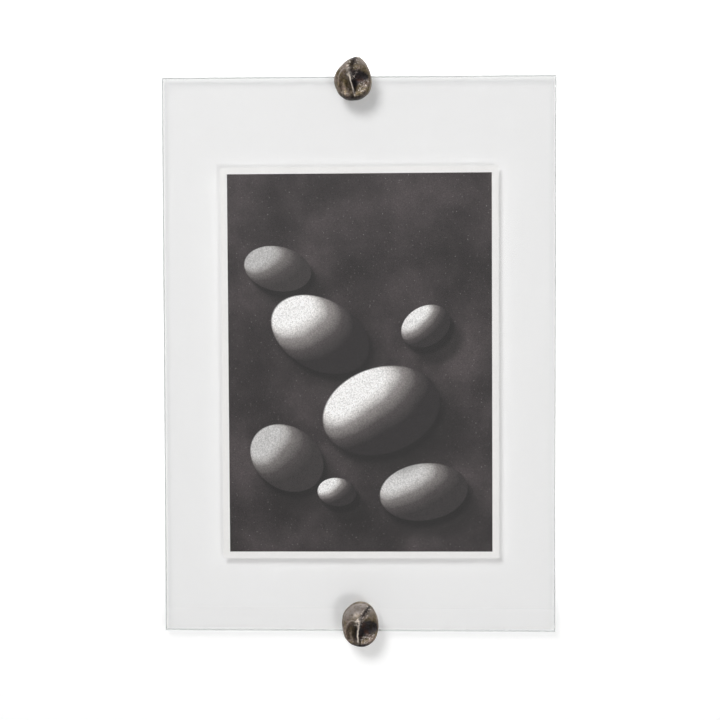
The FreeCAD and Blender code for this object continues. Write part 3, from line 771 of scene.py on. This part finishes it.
def worked(form, x, z, lump, side):
    """The lump's height once it is pinched and creased, and its marks in the order of MARKS. The
    side is all of the knob but its seat and its hole."""
    half_width, half_height, depth = form["width"] / 2, form["height"] / 2, form["depth"]
    across, up = (x - form["shift"]) / half_width, z / half_height
    off_ridge, pressed = pinched(form, across, up)
    height = np.where(side, soft_least(lump, pressed, MELT), lump)
    dented = lump - height
    whole = held(1 - dented)
    crown = lump > 0.4 * depth
    line = [(form["shift"] + half_width * along, half_height * rise)
            for along, rise in form["crease"]]
    off_crease = distance_to_line(x, z, line)
    groove = bell(off_crease, form["crease_width"]) * crown
    height -= CREASE_DEPTH * groove * whole

    # fingers rub bright the ridge and the knuckle at its top; the left dent's rim gets a painted
    # highlight and the flat upper facet a painted sheen
    top_x, top_z = form["ridge"][0]
    ridge_width = 0.5 + 0.45 * held(1 - (top_z - up) * 3)
    ridge = bell(off_ridge, ridge_width) * held(dented / 0.8) * held((top_z + 0.1 - up) * 8) * side
    # painted highlight: the left dent's rim, on its upper left only
    rim = bell(pressed - lump, 1.1) * held(-3 * across) * held(0.6 + 2 * up) * side
    # painted sheen: the upper facet, which faces up and to the left
    sheen_facet = held(2.6 * up - 0.4 * across - 0.8) * whole * (lump > 0.5 * depth)
    knuckle = side * bell(
        np.hypot((across - top_x) * half_width, (up - top_z) * half_height), 1.5
    )
    # darker in the dents, partly patina and partly painted shade, least in their lower bowl, where
    # painted light falls; darker in the crease; painted shade on the underside and along the bottom
    # painted shade: the underside, below the middle
    under = held((-z / half_height - 0.55) * 3) * (dented < 0.3) * side
    # painted light: the dents' lower bowls, which this line bounds, are darkened less and flecked
    # bright
    begin, turn_up, quick, inner = form["bowl"]
    bowl_top = np.minimum(turn_up * across - begin, 2 * np.abs(across) - inner)
    painted_bowl_light = held(dented / 1.5) * held((bowl_top - up) * quick)
    # painted shade in the left dent, darkest next to the ridge and fading to the left
    shade = np.where(off_ridge > 0, 1.0, form["shade"] * np.clip(1.5 + 2 * across, 0.15, 1))
    dent_patina_and_shade = shade * held(dented / 3.0) * (1 - 0.52 * painted_bowl_light) * (1 - rim)
    # painted shade: the dark lower edge
    lowest = held((-up - form["edge"]) * 6) * side
    patina_dirt_and_shade = np.maximum.reduce([dent_patina_and_shade, 0.95 * groove, 0.85 * under, lowest])
    wear_and_highlight = np.maximum.reduce([
        ridge * (1 - lowest), 0.36 * rim * (1 - under), form["sheen"] * sheen_facet * (1 - groove),
        0.75 * knuckle,
    ])
    # flecks gather along the crease, and in the lower bowl, where they also paint the light that
    # falls there
    border = bell(off_crease - form["crease_width"], 1.3) * crown
    flecks_and_bowl_light = held(np.maximum(0.6 * painted_bowl_light, border)) * (1 - lowest)
    return height, (wear_and_highlight, patina_dirt_and_shade, flecks_and_bowl_light)


# The mould's skin in millimetres: the length and the height of its waves and of its grit, the size
# of the patches where it ran rough, how far apart the pits are there, how wide in shares of that,
# and how deep.
WAVE_LONG, WAVE_HIGH = 6.0, 0.22
GRIT_LONG, GRIT_HIGH = 1.1, 0.07
PATCH_LONG = 7.0
PITS_APART, PIT_WIDE, PIT_DEEP = 1.7, 0.33, 0.3


def roughen(bm, seed, patina_dirt_and_shade, flecks_and_bowl_light):
    """Gives a cast knob its skin: slow waves, fine grit, and pits in the rough patches and where it
    is flecked. The pits hold dirt."""
    start = Vector((seed, 0, 0))
    for vert in bm.verts:
        if -vert.co.y < PLAIN_SEAT:
            continue
        spot = vert.co + start
        wave = noise.noise(spot / WAVE_LONG) * WAVE_HIGH
        grit = noise.noise(spot / GRIT_LONG) * GRIT_HIGH
        patch = (noise.noise(spot / PATCH_LONG + Vector((9, 9, 9))) + 0.05) * 4
        rough = max(min(max(patch, 0), 1), vert[flecks_and_bowl_light])
        pit = max(1 - noise.voronoi(spot / PITS_APART)[0][0] / PIT_WIDE, 0) if rough else 0
        vert.co += vert.normal * (wave + grit - PIT_DEEP * pit * rough)
        vert[patina_dirt_and_shade] = min(vert[patina_dirt_and_shade] + 0.6 * pit * rough, 1)


def knob(which, materials):
    """A cast knob, worked like clay: a ball pulled out to the lump's levels, pressed in by two
    fingers, creased over its crest and pitted all over."""
    form = KNOBS[which]
    half_width, half_height, depth = form["width"] / 2, form["height"] / 2, form["depth"]
    node = f"{which}_knob"
    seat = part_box(node)[1].y / MM

    bm = bmesh.new()
    bmesh.ops.create_uvsphere(bm, u_segments=AROUND_STEPS, v_segments=LEVEL_STEPS, radius=1.0)
    ball = np.array([vert.co for vert in bm.verts])
    turned = np.arccos(np.clip(-ball[:, 2], -1, 1)) / math.pi
    ring = np.rint(turned * LEVEL_STEPS).astype(int)
    rounded, size, shifted, lean, lump = knob_rings(depth, half_width, LEVEL_STEPS)[ring].T
    angle = np.arctan2(ball[:, 1], ball[:, 0])
    reach = rounded + size * outline_reach(form, angle)
    x = np.cos(angle) * reach + form["shift"] * shifted + half_width * form["crest"][0] * lean
    z = np.sin(angle) * reach + half_height * form["crest"][1] * lean
    side = size * shifted > LEVELS[0][1]
    side |= lump > LEVELS[1][0] * depth
    side &= rounded == 0
    height, marks = worked(form, x, z, lump, side)
    for vert, place in zip(bm.verts, np.column_stack((x, -height, z))):
        vert.co = place
    layers = [bm.verts.layers.float.new(name) for name in MARKS]
    for index, vert in enumerate(bm.verts):
        for layer, values in zip(layers, marks):
            vert[layer] = values[index]
    bmesh.ops.remove_doubles(bm, verts=bm.verts, dist=0.002)
    bmesh.ops.recalc_face_normals(bm, faces=bm.faces)
    bm.normal_update()
    roughen(bm, form["seed"], *layers[1:])
    bmesh.ops.translate(bm, verts=bm.verts, vec=(0, seat, 0))
    bmesh.ops.scale(bm, vec=(MM, MM, MM), verts=bm.verts)
    bmesh.ops.translate(bm, verts=bm.verts, vec=(0, 0, STUD_Z[which]))
    finish_piece(
        bm, f"{which}_pinched_knob", materials[f"{which}_bronze"], f"{which}_knob_body",
        "cast_bronze", node,
    )


# The stage: a white wall, a pale floor, three soft lamps and a little light from all round. How
# strongly each glows: the wall for the camera, at the lower stud and 100 mm above it; the wall
# through glass; the floor where it is seen; the room as light, and where it is seen.
WALL_LOW, WALL_HIGH, WALL_THROUGH = 0.18, 0.75, 0.14
FLOOR_SEEN = 0.6
ROOM_LIGHT, ROOM_SEEN = 0.22, 1.0
# The wall lies a little behind the nuts' faces, so that none of them is in its plane. Then the
# middles and the sizes of wall and floor, in metres.
WALL_PLACE, WALL_SIZE = (0, 0.3 * MM, 0.9), (9, 5)
FLOOR_PLACE, FLOOR_SIZE = (0, -3, -1.6), (9, 6)
# The lamps in front: name, degrees to the left and up from the panes' middle, metres away, width in
# metres, watts. The one behind the wall: place and width in metres, watts.
LAMPS = (("window_lamp", 16, 28, 2.0, 0.7, 21.5), ("room_lamp", -19, -15, 2.0, 0.5, 10.2))
BACK_LAMP = (Vector((0.5, 2.0, 0.6)), 1.2, 20.0)
# The photograph's view, solved from the panes' corners: lens for a 36 mm sensor, place in metres,
# then turn, tilt and roll in degrees.
LENS, CAMERA_PLACE = 78.72, (0.0421, -1.2, -0.1615)
CAMERA_TURN, CAMERA_TILT, CAMERA_ROLL = 1.989, -2.353, -0.145


def stage_plane(name, size, place, rotation, material):
    """A flat sheet of the stage, lying level unless it is turned about the X axis."""
    bm = bmesh.new()
    bmesh.ops.create_grid(bm, x_segments=1, y_segments=1, size=0.5)
    bmesh.ops.scale(bm, vec=(size[0], size[1], 1), verts=bm.verts)
    bmesh.ops.rotate(bm, cent=(0, 0, 0), matrix=Matrix.Rotation(rotation, 3, "X"), verts=bm.verts)
    bmesh.ops.translate(bm, vec=place, verts=bm.verts)
    mesh = bpy.data.meshes.new(name)
    bm.to_mesh(mesh)
    bm.free()
    mesh.materials.append(material)
    plane = bpy.data.objects.new(name, mesh)
    bpy.context.scene.collection.objects.link(plane)


def wall_paint():
    """White matt paint. The wall is seen from its front only, and a lamp behind it lights the
    object's back. It glows where the camera sees it, so that it reads as white paper, and less
    where it is seen through glass, which keeps the wall's own tone behind the panes."""
    material, tree, output = new_material("white_wall_paint")
    place = add(tree, "TexCoord").outputs["Object"]
    height = add(tree, "SeparateXYZ", {"Vector": place}).outputs["Z"]
    glow = add(tree, "MapRange", {
        "Value": height, "From Min": STUD_Z["lower"], "From Max": STUD_Z["lower"] + 0.1,
        "To Min": WALL_LOW, "To Max": WALL_HIGH,
    }).outputs[0]
    path = add(tree, "LightPath").outputs
    direct = add(tree, "Math", {0: path["Is Camera Ray"], 1: glow}, operation="MULTIPLY").outputs[0]
    through = add(tree, "Math", {
        0: path["Is Transmission Ray"], 1: WALL_THROUGH,
    }, operation="MULTIPLY").outputs[0]
    strength = add(tree, "Math", {0: direct, 1: through}, operation="ADD").outputs[0]
    paint = add(tree, "BsdfDiffuse", {"Color": linear("#f6f6f6")})
    light = add(tree, "Emission", {"Color": linear("#ffffff"), "Strength": strength})
    lit = add(tree, "AddShader", {0: paint.outputs[0], 1: light.outputs[0]})
    clear = add(tree, "BsdfTransparent", {"Color": linear("#ffffff")})
    behind = add(tree, "NewGeometry").outputs["Backfacing"]
    skipped = add(tree, "Math", {
        0: behind, 1: path["Is Shadow Ray"],
    }, operation="MAXIMUM").outputs[0]
    both = add(tree, "MixShader", {0: skipped, 1: lit.outputs[0], 2: clear.outputs[0]})
    tree.links.new(both.outputs[0], output.inputs["Surface"])
    return material


def seen_straight(tree, slack):
    """1 for what the camera sees directly or straight through glass, else 0: nothing that lights
    the object or shows in a reflection. The room behind all counts one step further than a
    surface does, which the slack allows for."""
    path = add(tree, "LightPath").outputs
    straight = add(tree, "Math", {
        0: path["Ray Depth"], 1: path["Transmission Depth"], 2: slack,
    }, operation="COMPARE").outputs[0]
    seen = add(tree, "Math", {
        0: path["Is Camera Ray"], 1: path["Is Transmission Ray"],
    }, operation="MAXIMUM").outputs[0]
    return add(tree, "Math", {0: straight, 1: seen}, operation="MULTIPLY").outputs[0]


def floor_paint():
    """Pale matt floor, which glows a little where it is seen, so that it reads as pale."""
    material, tree, output = new_material("pale_floor")
    glow = add(tree, "Math", {
        0: seen_straight(tree, 0.5), 1: FLOOR_SEEN,
    }, operation="MULTIPLY").outputs[0]
    paint = add(tree, "BsdfDiffuse", {"Color": linear("#e9e8e6")})
    light = add(tree, "Emission", {"Color": linear("#f2f1f0"), "Strength": glow})
    lit = add(tree, "AddShader", {0: paint.outputs[0], 1: light.outputs[0]})
    tree.links.new(lit.outputs[0], output.inputs["Surface"])
    return material


def soft_lamp(name, place, target, size, watts):
    """A white disc of light that is not seen itself."""
    data = bpy.data.lights.new(name, "AREA")
    data.shape = "DISK"
    data.size = size
    data.energy = watts
    lamp = bpy.data.objects.new(name, data)
    lamp.location = place
    lamp.rotation_euler = (target - place).to_track_quat("-Z", "Y").to_euler()
    lamp.visible_camera = False
    lamp.visible_transmission = False
    bpy.context.scene.collection.objects.link(lamp)


def light_room():
    """Two lamps in front, one behind the wall, and a pale room all round."""
    middle = Vector((0, 0, (STUD_Z["upper"] + STUD_Z["lower"]) / 2))
    for name, left, up, distance, size, watts in LAMPS:
        away = Vector((
            -math.tan(math.radians(left)), -1, math.tan(math.radians(up)),
        )).normalized() * distance
        soft_lamp(name, middle + away, middle, size, watts)
    place, size, watts = BACK_LAMP
    soft_lamp("back_lamp", place, middle, size, watts)

    world = bpy.data.worlds.new("pale_room")
    bpy.context.scene.world = world
    world.use_nodes = True
    tree = world.node_tree
    tree.nodes.clear()
    strength = add(tree, "MapRange", {
        "Value": seen_straight(tree, 1.5), "To Min": ROOM_LIGHT, "To Max": ROOM_SEEN,
    }).outputs[0]
    sky = add(tree, "Background", {"Color": linear("#ffffff"), "Strength": strength})
    output = tree.nodes.new("ShaderNodeOutputWorld")
    tree.links.new(sky.outputs[0], output.inputs["Surface"])


def place_camera():
    """The photograph's view, from a little right of the middle and level with the print."""
    data = bpy.data.cameras.new("camera")
    data.lens = LENS
    data.sensor_width = 36.0
    data.clip_start = 0.01
    data.clip_end = 50.0
    camera = bpy.data.objects.new("camera", data)
    turns = (
        Matrix.Rotation(math.radians(CAMERA_TURN), 4, "Z")
        @ Matrix.Rotation(math.radians(90 + CAMERA_TILT), 4, "X")
        @ Matrix.Rotation(math.radians(CAMERA_ROLL), 4, "Z")
    )
    camera.matrix_world = Matrix.Translation(CAMERA_PLACE) @ turns
    bpy.context.scene.collection.objects.link(camera)
    bpy.context.scene.camera = camera


def dress(node, material):
    """Gives a CAD node its finish."""
    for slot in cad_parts[node].material_slots:
        slot.material = material


def main():
    """Dresses every CAD node, or puts a finer piece in its place, and sets the stage."""
    materials = {
        "zinc": zinc_plate("bright_zinc_plated_steel"),
        "nylon": moulded_nylon("grey_moulded_nylon"),
        "silicone": clear_soft("clear_silicone_rubber", "#dfe3e2", 1.41, 0.25, 0.4 * MM),
        "sleeve": clear_soft("clear_plastic_tube", "#e6eaea", 1.46, 0.1, 0.8 * MM),
    }
    for which in SIDES:
        materials[f"{which}_nickel"] = nickel_plate(f"{which}_nickel_plated_brass", STUD_Z[which])
        materials[f"{which}_bronze"] = cast_bronze(
            f"{which}_patinated_cast_bronze", KNOBS[which]["seed"],
        )
    for pane in ("front_glass", "back_glass"):
        dress(pane, float_glass(f"{pane}_float", pane))
    dress("photo_print", printed_paper("printed_matt_paper", "photo_print"))
    for which in SIDES:
        dress(f"{which}_rear_washer", materials["silicone"])
        dress(f"{which}_front_washer", materials["silicone"])
        dress(f"{which}_sleeve", materials["sleeve"])
        wall_plug(which, materials)
        hanger_bolt(which, materials)
        standoff_nut(which, materials)
        knob(which, materials)

    stage_plane("wall", WALL_SIZE, WALL_PLACE, math.pi / 2, wall_paint())
    stage_plane("floor", FLOOR_SIZE, FLOOR_PLACE, 0, floor_paint())
    light_room()
    place_camera()
    bpy.context.scene.view_settings.view_transform = "Standard"


main()
